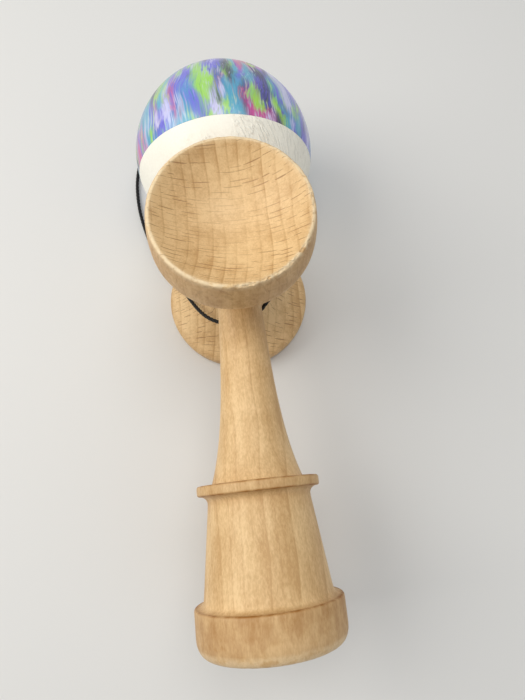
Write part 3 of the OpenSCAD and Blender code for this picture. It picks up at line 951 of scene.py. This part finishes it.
def string_path():
    """Middle line of the loose string, in metres."""
    out = SARADO_MID + Vector((SARADO_HOLE_MOUTH * MM, 0, 0))
    home = TAMA_MID + Vector((0, TAMA_TOP * MM, 0))
    back = TAMA_MID.y + TAMA_R * MM
    points = [out, out + Vector((STRING_LEAD, 0, 0))]
    points += [Vector((x, y + SARADO_Y, z)) for x, y, z in STRING_OUT]
    for i in range(COIL_STEPS + 1):
        turned = COIL_SWEEP * i / COIL_STEPS
        angle = math.radians(COIL_START + turned)
        radius = COIL_R - COIL_PITCH * turned / 360
        across = COIL_MID[0] + radius * math.cos(angle)
        along = back + COIL_MID[1] + radius * math.sin(angle)
        points.append(Vector((across, along, COIL_Z)))
    points += [Vector((x, y + back, z)) for x, y, z in STRING_HOME]
    points += [home + Vector((0, STRING_LEAD, 0)), home]
    line = []
    last = len(points) - 1
    for k in range(last):
        a, b = points[max(k - 1, 0)], points[k]
        c, d = points[k + 1], points[min(k + 2, last)]
        for i in range(ROUTE_STEPS):
            t = i / ROUTE_STEPS
            line.append(0.5 * (
                2 * b + (c - a) * t + (2 * a - 5 * b + 4 * c - d) * t * t
                + (3 * b - a - 3 * c + d) * t**3))
    line.append(points[-1])
    return evenly([tuple(p) for p in line], CORD_STEP)


def knot_path(middle, axis, radius, tube_r):
    """Closed line of a tight overhand knot about a point, along X or Y, all in metres."""
    reach = (radius - tube_r) / 3
    line = []
    for i in range(KNOT_STEPS):
        t = TURN * i / KNOT_STEPS
        along = 1.55 * math.sin(3 * t)
        across = math.sin(t) + 2 * math.sin(2 * t)
        up = math.cos(t) - 2 * math.cos(2 * t)
        offset = (along, across, up) if axis == "X" else (across, along, up)
        line.append(tuple(middle + Vector(offset) * reach))
    return line


def seat_r(height):
    """Radius of the ken's taper at a height above its foot, in mm."""
    slope = (GRIP_R - SEAT_TOP_R) / (SEAT_END - FLARE_END)
    return GRIP_R - slope * (height - FLARE_END)


def base_outline():
    """Outline of the ken's base, from the middle of its cup to the underside of the collar."""
    ease_in, ease_out, ease_up = BASE_EASE
    mouth_r = FOOT_R - FOOT_LAND
    cup = bowl(mouth_r - ease_in, ease_up, BASE_CUP_DEPTH - ease_up, up=-1)
    foot = (FOOT_R, FOOT_RISE)
    edge = (BASE_R - BASE_RING_ROUND, BASE_RING_H - BASE_RING_ROUND)
    crease = (SKIRT_FOOT_R + SKIRT_FILLET, BASE_RING_H + SKIRT_FILLET)
    neck = (SKIRT_TOP_R + COLLAR_FILLET, COLLAR_H - COLLAR_FILLET)
    # The base ring, the dark line along its top edge, the skirt's crease and the neck under the
    # collar are darkened with painted shade as well as dirt
    return (
        marked(reversed(cup))
        + marked([(mouth_r + ease_out, 0.0), (FOOT_R, 0.0)], wear=0.8)
        + marked(arc(foot, (FOOT_ROUND, FOOT_RISE), -80, -30, 6), wear=0.45, soil=0.6)
        + marked(arc(foot, (FOOT_ROUND, FOOT_RISE), -20, 0, 3), wear=0.1, soil=1.0)
        + marked([(BASE_R, edge[1] - 2 * BASE_RING_ROUND)], soil=1.05)
        + marked(arc(edge, BASE_RING_ROUND, 0, 45, 5), soil=1.0)
        + marked(arc(edge, BASE_RING_ROUND, 54, 90, 4), soil=1.9)
        + marked([(crease[0] - MARK_STEP, BASE_RING_H)], soil=0.5)
        + marked(arc(crease, SKIRT_FILLET, 262, 225, 5), soil=0.5)
        + marked(arc(crease, SKIRT_FILLET, 220, 188, 5))
        + marked([SKIRT_LOW, SKIRT_HIGH])
        + marked(arc(neck, COLLAR_FILLET, 172, 98), soil=0.4)
        + marked([(neck[0] + MARK_STEP, COLLAR_H)], soil=0.9))


def handle_outline():
    """Outline of the collar, the flaring handle, the taper and the spike."""
    low = (COLLAR_R - COLLAR_ROUND, COLLAR_H + COLLAR_ROUND)
    high = (COLLAR_R - COLLAR_ROUND, COLLAR_TOP - COLLAR_ROUND)
    lean = FLARE_END - FLARE_TOP_PULL
    knot = SARADO_H + (TAMA_MID.y - SARADO_Y) / MM + BEAD_KNOT_MID
    tip = (0, knot - KNOT_R - SPIKE_ROOM - SPIKE_TIP_R)
    flare = bezier(
        (HANDLE_ROOT_R, COLLAR_TOP),
        (HANDLE_ROOT_R - FLARE_ROOT_NARROW, COLLAR_TOP + FLARE_ROOT_PULL),
        (seat_r(lean), lean), (GRIP_R, FLARE_END))
    # Both edges of the collar carry dark lines of painted shade, with some dirt, where they meet
    # the creases
    return (
        marked(arc(low, COLLAR_ROUND, -90, -36, 5), soil=1.9)
        + marked(arc(low, COLLAR_ROUND, -27, 0, 3), soil=0.4)
        + marked([(COLLAR_R, (low[1] + high[1]) / 2)], soil=0.45)
        + marked(arc(high, COLLAR_ROUND, 0, 27, 3), soil=0.4)
        + marked(arc(high, COLLAR_ROUND, 36, 90, 5), soil=1.7)
        + marked([((high[0] + HANDLE_ROOT_R) / 2, COLLAR_TOP)], soil=0.5)
        + marked([(HANDLE_ROOT_R + 2 * MARK_STEP, COLLAR_TOP)], soil=0.9)
        + marked(flare)
        + marked([(SEAT_TOP_R, SEAT_END)])
        + marked(arc(tip, SPIKE_TIP_R, 0, 90), wear=0.6))


def cup_outline(rim, wall_r, lip_r, wall_h, shoulder, turn, depth):
    """Outline of a cup that opens upwards, from the barrel to the middle of its hollow."""
    ease_in, ease_down = CUP_EASE
    bend = math.radians(turn)
    fillet = (wall_r - BARREL_R) / (1 - math.cos(bend)) - shoulder
    top = rim - wall_h
    neck = top - (fillet + shoulder) * math.sin(bend)
    lip = (lip_r - LIP_ROUND, rim - LIP_ROUND)
    lean = wall_r - lip_r
    rise = lip[1] - top
    swell = (rise**2 + lean**2) / (2 * lean)
    swell_angle = math.degrees(math.asin(rise / swell))
    mouth_r = lip[0] - RIM_LAND
    hollow = bowl(mouth_r - ease_in, rim - ease_down, depth - ease_down)
    # The wall below each lip is darkened with dirt and painted shade
    return (
        marked(arc((BARREL_R + fillet, neck), fillet, 180, 180 - turn, 20))
        + marked(arc((wall_r - shoulder, top), shoulder, -turn, 0), soil=0.35)
        + marked(arc((wall_r - swell, top), swell, 0, swell_angle * 0.95), soil=0.78)
        + marked(arc(lip, LIP_ROUND, 10, 40, 4), wear=0.5, soil=1.0)
        + marked(arc(lip, LIP_ROUND, 50, 90, 5), wear=1.0)
        + marked([(mouth_r, rim)], wear=0.9)
        + rubbed(hollow, lip_r))


def flipped(points):
    """Outline upside down, taken from its other end."""
    return [(p[0], -p[1], *p[2:]) for p in reversed(points)]


class KENDAMA_OT_stage(bpy.types.Operator):
    """Add the camera, the table and the lights"""

    bl_idname = "kendama.stage"
    bl_label = "Add stage"

    BACKDROP = tint(222, 222, 220)

    def execute(self, context):
        scene = context.scene
        scene.view_settings.view_transform = "Standard"
        self.add_camera(scene)
        self.add_table()
        self.add_sky(scene)
        for name, (place, size, power, colour) in LAMPS.items():
            light = bpy.data.lights.new(name, "AREA")
            light.size = size
            light.energy = power
            light.color = colour
            lamp = new_object(name, light)
            lamp.matrix_world = aimed(place, LAMP_TARGET - Vector(place), "-Z")
        return {"FINISHED"}

    @staticmethod
    def add_camera(scene):
        """Camera that looks at the toy from above its foot."""
        camera = new_object("camera", bpy.data.cameras.new("camera"))
        place = Matrix((CAMERA_RIGHT, -CAMERA_DOWN, -CAMERA_AHEAD)).transposed().to_4x4()
        place.translation = CAMERA_PLACE
        camera.matrix_world = place
        camera.data.sensor_fit = "VERTICAL"
        camera.data.sensor_height = CAMERA_SENSOR
        camera.data.lens = CAMERA_LENS
        camera.data.clip_start = CAMERA_NEAR
        scene.camera = camera

    def add_table(self):
        """Plain pale table that fades to the backdrop."""
        mesh = bpy.data.meshes.new("table")
        corners = [(-1, -1), (1, -1), (1, 1), (-1, 1)]
        mesh.from_pydata(
            [(x * TABLE_HALF, y * TABLE_HALF, 0) for x, y in corners], [], [(0, 1, 2, 3)])
        material, s, shader = new_material("table")
        s.finish(shader, {"Base Color": self.BACKDROP, "Roughness": 0.7})
        reach = s.vector("LENGTH", s.add("ShaderNodeTexCoord", out=3), out=1)
        far = s.times(s.fade(reach, *TABLE_FADE), self.seen(s))
        backdrop = s.add("ShaderNodeEmission", (self.BACKDROP, 1.0))
        blend = s.add("ShaderNodeMixShader", (far, shader.outputs[0], backdrop))
        s.wire(blend, material.node_tree.nodes["Material Output"].inputs[0])
        mesh.materials.append(material)
        new_object("table", mesh)

    def add_sky(self, scene):
        """Soft light from all sides, behind which the backdrop is seen."""
        world = bpy.data.worlds.new("studio")
        scene.world = world
        world.use_nodes = True
        s = Sketch(world.node_tree)
        sky = s.add("ShaderNodeBackground", (SKY_COLOUR, SKY_STRENGTH))
        backdrop = s.add("ShaderNodeBackground", (self.BACKDROP, 1.0))
        blend = s.add("ShaderNodeMixShader", (self.seen(s), sky, backdrop))
        s.wire(blend, world.node_tree.nodes["World Output"].inputs[0])

    @staticmethod
    def seen(s):
        """Share that is 1 where the backdrop is seen, itself or in a reflection."""
        rays = s.add("ShaderNodeLightPath").node.outputs
        mirrored = s.math("MAXIMUM", rays["Is Glossy Ray"], rays["Is Transmission Ray"])
        return s.math("MAXIMUM", rays["Is Camera Ray"], mirrored)


class KENDAMA_OT_string(bpy.types.Operator):
    """Add the string: its loose stretch, its stretches in the holes and its knots"""

    bl_idname = "kendama.string"
    bl_label = "Add string"

    def execute(self, context):
        string = context.scene.kendama_string
        material = dyed_cord(string)
        path = string_path()
        loose = add_piece("string", cord_mesh("string", path, string, material), None)
        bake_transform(loose)
        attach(loose, "ken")

        ken_knot = SARADO_MID + Vector((KEN_KNOT_MID * MM, 0, 0))
        ken_end = SARADO_MID + Vector((SARADO_HOLE_MOUTH * MM, 0, 0))
        bead_knot = TAMA_MID + Vector((0, BEAD_KNOT_MID * MM, 0))
        tama_end = TAMA_MID + Vector((0, TAMA_TOP * MM, 0))
        stretches = (
            ("string_in_ken", "ken", ken_knot, ken_end),
            ("string_in_tama", "bead", bead_knot, tama_end),
        )
        for name, body, knot, end in stretches:
            start = knot + (end - knot).normalized() * KNOT_GRIP * KNOT_R * MM
            line = evenly([tuple(start), tuple(end)], CORD_STEP)
            add_piece(name, cord_mesh(name, line, string, material), body)
        knots = (("ken_knot", "ken", ken_knot, "X"), ("bead_knot", "bead", bead_knot, "Y"))
        for name, body, middle, axis in knots:
            line = knot_path(middle, axis, KNOT_R * MM, string.diameter / 2)
            add_piece(name, cord_mesh(name, line, string, material, True), body)
        return {"FINISHED"}


class KENDAMA_OT_ken(bpy.types.Operator):
    """Add the ken: base cup, skirt, collar, handle and spike in one turned piece"""

    bl_idname = "kendama.ken"
    bl_label = "Add ken"

    def execute(self, context):
        wood = context.scene.kendama_wood
        material = beech(
            "ken_wood", wood, place=(60.0, 34.5, 0.0), turn=(91.0, 1.5, 0.0), reach=60.0,
            rings=0.6, rays=0.07, streaks=0.18, flecks=0.34, depth=0.35, spots=0.06)
        outline = thinned(softened(base_outline() + handle_outline(), 2))
        mesh = turned_mesh(
            "ken", outline, ON_KEN, material, sides=176, dent_depth=wood.dent_depth * 0.4,
            dent_size=2.2, seed=1.3)
        across = Vector((MM, 0, 0))
        pocket_floor = KEN_KNOT_MID + KNOT_R + KNOT_CLEARANCE
        far, near = SARADO_MID - across * KEN_DRILL, SARADO_MID + across * KEN_DRILL
        hole_r, pocket_r = STRING_HOLE_R * MM, KNOT_POCKET_R * MM
        mesh = bored(mesh, [
            (hole_r, hole_r, far, near),
            (pocket_r, pocket_r, SARADO_MID + across * pocket_floor, far)])
        add_piece("ken", mesh, "ken")
        return {"FINISHED"}


class KENDAMA_OT_sarado(bpy.types.Operator):
    """Add the sarado: the cross piece with its two cups"""

    bl_idname = "kendama.sarado"
    bl_label = "Add sarado"

    def execute(self, context):
        wood = context.scene.kendama_wood
        material = beech(
            "sarado_wood", wood, place=(126.0, -19.0, 17.0), turn=(3.0, -4.0, 0.0), reach=126.0,
            rings=1.05, rays=0.75, streaks=0.2, flecks=0.24, depth=0.14, spots=0.32)
        outline = flipped(cup_outline(**BIG_CUP)) + cup_outline(**SMALL_CUP)
        mesh = turned_mesh(
            "sarado", thinned(softened(outline, 2)), ON_SARADO, material, sides=352,
            dent_depth=wood.dent_depth, dent_size=1.9, dent_side=(0.8, -0.6, 0), seed=4.7)
        past = BARREL_R + DRILL_REACH
        low_r, high_r = [(seat_r(SARADO_H + y) + SEAT_CLEARANCE) * MM for y in (-past, past)]
        along = Vector((0, past * MM, 0))
        across = Vector((past * MM, 0, 0))
        hole_r = STRING_HOLE_R * MM
        mesh = bored(mesh, [
            (low_r, high_r, SARADO_MID - along, SARADO_MID + along),
            (hole_r, hole_r, SARADO_MID, SARADO_MID + across)])
        add_piece("sarado", mesh, "ken")
        return {"FINISHED"}


class KENDAMA_OT_tama(bpy.types.Operator):
    """Add the ball: its wooden core, its coloured paint and its ivory band"""

    bl_idname = "kendama.tama"
    bl_label = "Add tama"

    @staticmethod
    def sphere_arc(radius, start_z, end_z, steps=60):
        """Points on a sphere between two heights."""
        start = math.degrees(math.asin(start_z / radius))
        end = math.degrees(math.asin(end_z / radius))
        return arc((0, 0), radius, start, end, steps)

    def shell(self, low, high):
        """Closed outline of a coat of paint between two heights on its outside."""
        inner_low = max(low, TAMA_MOUTH)
        outer = self.sphere_arc(TAMA_R, low, high)
        inner = self.sphere_arc(COAT_R, high * COAT_R / TAMA_R, inner_low * COAT_R / TAMA_R)
        return outer + inner + outer[:1]

    def execute(self, context):
        scene = context.scene
        ball = scene.kendama_ball
        mouth_ease, top_ease, hole_ease = TAMA_EASE
        top = math.sqrt(CORE_R**2 - TAMA_STRING_R**2)
        core = (
            marked([(TAMA_STRING_R, TAMA_HOLE_END), (TAMA_HOLE_R, TAMA_HOLE_END)])
            + marked([(TAMA_HOLE_R, TAMA_MOUTH + TAMA_BEVEL_DEPTH)], wear=0.2)
            + marked([(TAMA_MOUTH_R, TAMA_MOUTH)], wear=0.6)
            + marked(self.sphere_arc(CORE_R, TAMA_MOUTH + mouth_ease, top - top_ease))
            + marked([(TAMA_STRING_R, top - hole_ease), (TAMA_STRING_R, TAMA_HOLE_END)]))
        material = beech(
            "tama_wood", scene.kendama_wood, place=(9.0, -70.0, 0.0), turn=(94.0, 3.0, 0.0),
            reach=100.0, rings=0.6, rays=0.5, streaks=0.2, flecks=0.3)
        mesh = turned_mesh("tama", thinned(softened(core, 1)), ON_TAMA, material, sides=128)
        add_piece("tama", mesh, "tama")

        ring = math.sqrt(TAMA_R**2 - TAMA_RING_R**2)
        mouth = -math.sqrt(TAMA_R**2 - TAMA_MOUTH_R**2)
        coats = (
            ("tama_paint", BAND_EDGE + COAT_GAP / 2, ring, streaked_paint(ball)),
            ("tama_band", mouth, BAND_EDGE - COAT_GAP / 2, ivory_paint(ball)),
        )
        for name, low, high, material in coats:
            outline = marked(self.shell(low, high))
            edges = [max(0.0, 1 - abs(p[1] - BAND_EDGE) / EDGE_REACH) for p in outline]
            mesh = turned_mesh(name, outline, ON_TAMA, material, wander=EDGE_WAVE, edges=edges)
            add_piece(name, mesh, "tama")
        return {"FINISHED"}


class KENDAMA_OT_bead(bpy.types.Operator):
    """Add the bead that holds the string in the ball"""

    bl_idname = "kendama.bead"
    bl_label = "Add bead"

    def execute(self, context):
        low, high = BEAD_BASE, BEAD_BASE + BEAD_LEN
        side = BEAD_R - BEAD_ROUND
        hole_edge = BEAD_HOLE_R + BEAD_HOLE_ROUND
        outline = (
            marked(arc((hole_edge, low + BEAD_HOLE_ROUND), BEAD_HOLE_ROUND, 180, 270, 4))
            + marked(arc((side, low + BEAD_ROUND), BEAD_ROUND, -90, 0))
            + marked(arc((side, high - BEAD_ROUND), BEAD_ROUND, 0, 90))
            + marked(arc((hole_edge, high - BEAD_HOLE_ROUND), BEAD_HOLE_ROUND, 90, 180, 4))
            + marked([(BEAD_HOLE_R, low + BEAD_HOLE_ROUND)]))
        mesh = turned_mesh("tama_bead", outline, ON_TAMA, bead_plastic(), sides=64)
        add_piece("tama_bead", mesh, "bead")
        return {"FINISHED"}


class KENDAMA_PT_panel(bpy.types.Panel):
    """Lists the pieces and what can be changed about them"""

    bl_idname = "KENDAMA_PT_panel"
    bl_label = "Kendama"
    bl_space_type = "VIEW_3D"
    bl_region_type = "UI"
    bl_category = "Kendama"

    def draw(self, context):
        for group in (context.scene.kendama_wood, context.scene.kendama_ball,
                      context.scene.kendama_string):
            box = self.layout.box()
            for key in group.__annotations__:
                box.prop(group, key)
        for operator in OPERATORS:
            self.layout.operator(operator.bl_idname)


OPERATORS = (
    KENDAMA_OT_stage, KENDAMA_OT_string, KENDAMA_OT_ken, KENDAMA_OT_sarado,
    KENDAMA_OT_tama, KENDAMA_OT_bead,
)
GROUPS = {
    "kendama_wood": KendamaWood,
    "kendama_ball": KendamaBall,
    "kendama_string": KendamaString,
}
CLASSES = (*GROUPS.values(), *OPERATORS, KENDAMA_PT_panel)


def register():
    for cls in CLASSES:
        bpy.utils.register_class(cls)
    for key, group in GROUPS.items():
        setattr(bpy.types.Scene, key, PointerProperty(type=group))


def unregister():
    for key in GROUPS:
        delattr(bpy.types.Scene, key)
    for cls in reversed(CLASSES):
        bpy.utils.unregister_class(cls)


def main():
    """Adds every piece in order."""
    register()
    bpy.ops.kendama.stage()
    bpy.ops.kendama.string()
    bpy.ops.kendama.ken()
    bpy.ops.kendama.sarado()
    bpy.ops.kendama.tama()
    bpy.ops.kendama.bead()


if __name__ == "__main__":
    main()
